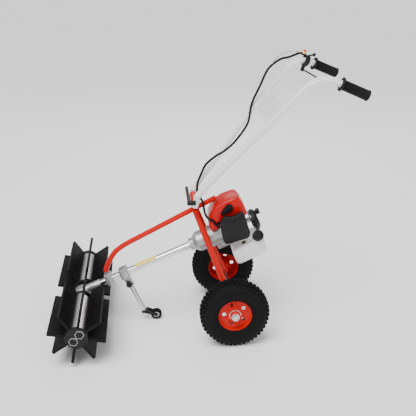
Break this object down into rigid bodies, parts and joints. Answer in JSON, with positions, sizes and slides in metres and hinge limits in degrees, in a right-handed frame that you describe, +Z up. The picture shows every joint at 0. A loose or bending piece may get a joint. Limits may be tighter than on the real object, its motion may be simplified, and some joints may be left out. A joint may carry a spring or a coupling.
{
  "type": "walk-behind power sweeper",
  "caption": "Walk-behind sweeper with an engine-driven rubber-paddle drum, two tyred wheels, a trailing castor and an angled handlebar.",
  "frame": {"origin": "on the ground, under the middle of the bounding box", "axes": "+X back towards the operator, +Y to the operator's right, +Z up; the drum leads at -X"},
  "size_m": [1.1206, 0.63, 1.0293],
  "materials": {
    "red_paint": "gloss powder coat",
    "white_paint": "gloss powder coat",
    "black_rubber": "matt moulded rubber",
    "tyre_rubber": "matt treaded rubber",
    "black_plastic": "fine textured moulding",
    "red_plastic": "gloss moulding",
    "white_tank": "milky blow moulding",
    "bright_steel": "zinc plated",
    "aluminium": "drawn and polished",
    "cast_aluminium": "die cast, satin"
  },
  "bodies": {
    "root": {"frame_spine": "red_paint", "frame_leg_left": "red_paint", "frame_leg_right": "red_paint", "pivot_sleeve": "red_paint", "axle": "bright_steel", "drive_tube": "aluminium", "gearbox_housing": "cast_aluminium", "gearbox_clamp": "cast_aluminium", "castor_clamp": "cast_aluminium", "clutch_housing": "cast_aluminium", "crankcase": "cast_aluminium", "cylinder": "cast_aluminium", "engine_cover": "red_plastic", "plug_boot": "black_rubber", "carburettor": "cast_aluminium", "air_filter_cover": "black_plastic", "muffler": "bright_steel", "fuel_tank": "white_tank", "starter_housing": "black_plastic", "cable_lower": "black_plastic"},
    "drum": {"output_shaft": "bright_steel", "worm_wheel": "bright_steel", "drum_core_left": "aluminium", "drum_core_right": "aluminium", "drum_flange_left": "black_plastic", "drum_flange_right": "black_plastic", "drum_cap_left": "black_plastic", "drum_cap_right": "black_plastic", "paddle_pair_left_1": "black_rubber", "paddle_pair_left_2": "black_rubber", "paddle_pair_left_3": "black_rubber", "paddle_pair_left_4": "black_rubber", "paddle_pair_right_1": "black_rubber", "paddle_pair_right_2": "black_rubber", "paddle_pair_right_3": "black_rubber", "paddle_pair_right_4": "black_rubber"},
    "driveline": {"drive_shaft": "bright_steel"},
    "crank": {"crankshaft": "bright_steel"},
    "left_wheel": {"tyre_left": "tyre_rubber", "rim_left": "red_paint"},
    "right_wheel": {"tyre_right": "tyre_rubber", "rim_right": "red_paint"},
    "castor_post": {"castor_stem": "bright_steel"},
    "castor_yoke": {"castor_fork": "black_plastic"},
    "castor_roller": {"castor_wheel": "black_rubber"},
    "castor_lock": {"castor_knob": "black_plastic"},
    "handlebar": {"handlebar_left": "white_paint", "handlebar_right": "white_paint", "handle_plate": "white_paint", "grip_left": "black_rubber", "grip_right": "black_rubber", "throttle_housing": "black_plastic", "cable_upper": "black_plastic", "pivot_bolt": "bright_steel"},
    "cam_lever": {"clamp_lever": "black_plastic"},
    "throttle_blade": {"throttle_lever": "black_plastic"},
    "stop_switch": {"stop_button": "red_plastic"},
    "filler": {"fuel_cap": "black_plastic"},
    "pull_handle": {"starter_handle": "black_plastic"}
  },
  "joints": [
    {"name": "drum_spin", "type": "hinge", "parent": "root", "child": "drum", "pos_m": [-0.45731, 0, 0.12264], "axis": [0, 1, 0], "continuous": true},
    {"name": "driveshaft_spin", "type": "hinge", "parent": "root", "child": "driveline", "pos_m": [-0.21894, 0, 0.24185], "axis": [0.9205, 0, 0.3907], "continuous": true},
    {"name": "crank_spin", "type": "hinge", "parent": "root", "child": "crank", "pos_m": [0.07562, 0, 0.36689], "axis": [0.9205, 0, 0.3907], "continuous": true},
    {"name": "left_wheel_spin", "type": "hinge", "parent": "root", "child": "left_wheel", "pos_m": [0.11516, -0.198, 0.13], "axis": [0, 1, 0], "continuous": true},
    {"name": "right_wheel_spin", "type": "hinge", "parent": "root", "child": "right_wheel", "pos_m": [0.11516, 0.198, 0.13], "axis": [0, 1, 0], "continuous": true},
    {"name": "castor_height", "type": "slide", "parent": "root", "child": "castor_post", "axis": [0.3907, 0, -0.9205], "range_m": [0, 0.025]},
    {"name": "castor_swivel", "type": "hinge", "parent": "castor_post", "child": "castor_yoke", "pos_m": [-0.25351, 0, 0.11854], "axis": [0.3907, 0, -0.9205], "continuous": true},
    {"name": "castor_roll", "type": "hinge", "parent": "castor_yoke", "child": "castor_roller", "pos_m": [-0.17342, 0, 0.022], "axis": [0, 1, 0], "continuous": true},
    {"name": "castor_lock_turn", "type": "hinge", "parent": "root", "child": "castor_lock", "pos_m": [-0.275, 0, 0.16917], "axis": [0, -1, 0], "continuous": true},
    {"name": "handlebar_tilt", "type": "hinge", "parent": "root", "child": "handlebar", "pos_m": [-0.01984, 0, 0.516], "axis": [0, -1, 0], "range_deg": [0, 65]},
    {"name": "cam_lever_swing", "type": "hinge", "parent": "handlebar", "child": "cam_lever", "pos_m": [-0.04134, -0.0815, 0.526], "axis": [1, 0, 0], "range_deg": [0, 100]},
    {"name": "throttle_squeeze", "type": "hinge", "parent": "handlebar", "child": "throttle_blade", "pos_m": [0.41401, 0.18766, 0.95311], "axis": [0, -1, 0], "range_deg": [0, 12], "stiffness_Nm_per_rad": 1.5, "springref_deg": -14.32},
    {"name": "stop_press", "type": "slide", "parent": "handlebar", "child": "stop_switch", "axis": [-0.3423, 0, -0.9396], "range_m": [0, 0.003], "stiffness_N_per_m": 150, "springref_m": -0.004},
    {"name": "fuel_cap_turn", "type": "hinge", "parent": "root", "child": "filler", "pos_m": [0.21262, -0.078, 0.37941], "axis": [0.1998, -0.7018, 0.6838], "continuous": true},
    {"name": "starter_pull", "type": "slide", "parent": "root", "child": "pull_handle", "axis": [0.9205, 0, 0.3907], "range_m": [0, 0.3], "stiffness_N_per_m": 12, "springref_m": -0.3}
  ],
  "couplings": [
    {"joint": "driveshaft_spin", "follows": "drum_spin", "ratio": 14}
  ]
}
